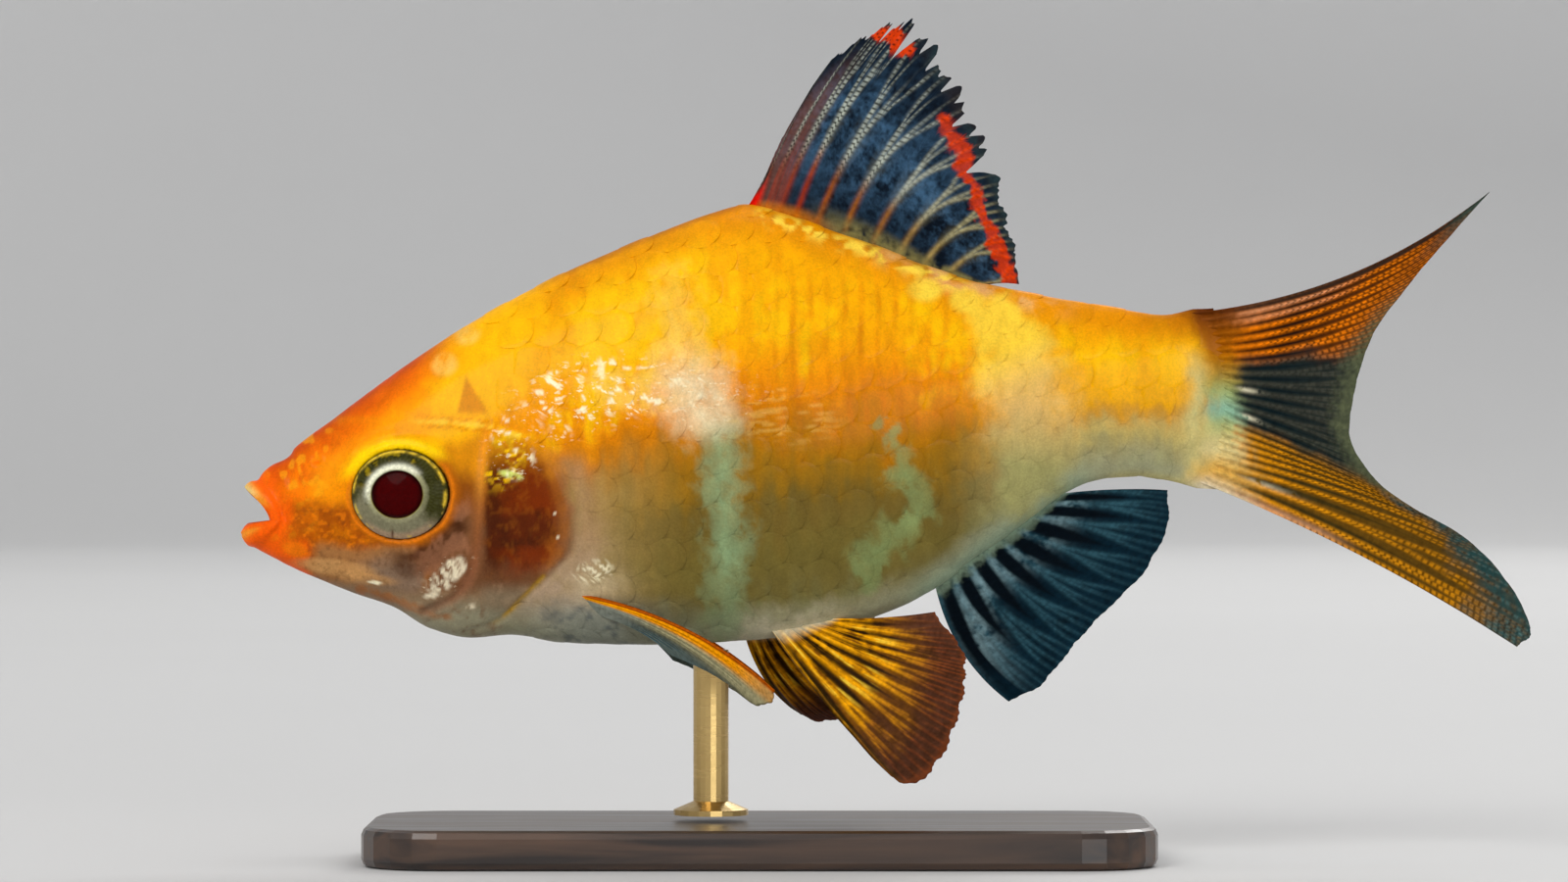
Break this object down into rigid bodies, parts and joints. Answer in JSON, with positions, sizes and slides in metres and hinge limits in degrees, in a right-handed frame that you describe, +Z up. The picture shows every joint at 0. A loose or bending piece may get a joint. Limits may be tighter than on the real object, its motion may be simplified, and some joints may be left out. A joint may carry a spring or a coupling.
{
  "type": "albino tiger barb model",
  "caption": "Life-size still model of an albino tiger barb, swimming, with ridged fins and open mouth, on a small flat stand with a rod.",
  "frame": {"origin": "the middle of the bounding box in plan, at the underside of the stand's base", "axes": "+X runs from the head to the tail, +Y to the fish's right, +Z up"},
  "size_m": [0.0658, 0.018, 0.043],
  "materials": {
    "skin_head": "moist satin skin, red-orange at the lips",
    "skin_flank": "golden scales with pale bars",
    "gill_cover": "thin satin plate over red gills",
    "eye": "clear wet cornea over a silver iris and a dark red pupil",
    "fin_dark": "thin blue-black membrane with pale rays",
    "fin_tail": "thin membrane with beaded orange rays",
    "fin_gold": "thin membrane with golden rays",
    "stand_wood": "dark satin varnish",
    "stand_brass": "satin"
  },
  "bodies": {
    "root": {"head": "skin_head", "gill_cover_left": "gill_cover", "gill_cover_right": "gill_cover", "trunk": "skin_flank", "tail_stalk": "skin_flank", "eye_left": "eye", "eye_right": "eye", "dorsal_fin": "fin_dark", "anal_fin": "fin_dark", "tail_fin_upper": "fin_tail", "tail_fin_lower": "fin_tail", "pectoral_fin_left": "fin_gold", "pectoral_fin_right": "fin_gold", "pelvic_fin_left": "fin_gold", "pelvic_fin_right": "fin_gold", "stand_base": "stand_wood", "stand_rod": "stand_brass"}
  },
  "joints": []
}
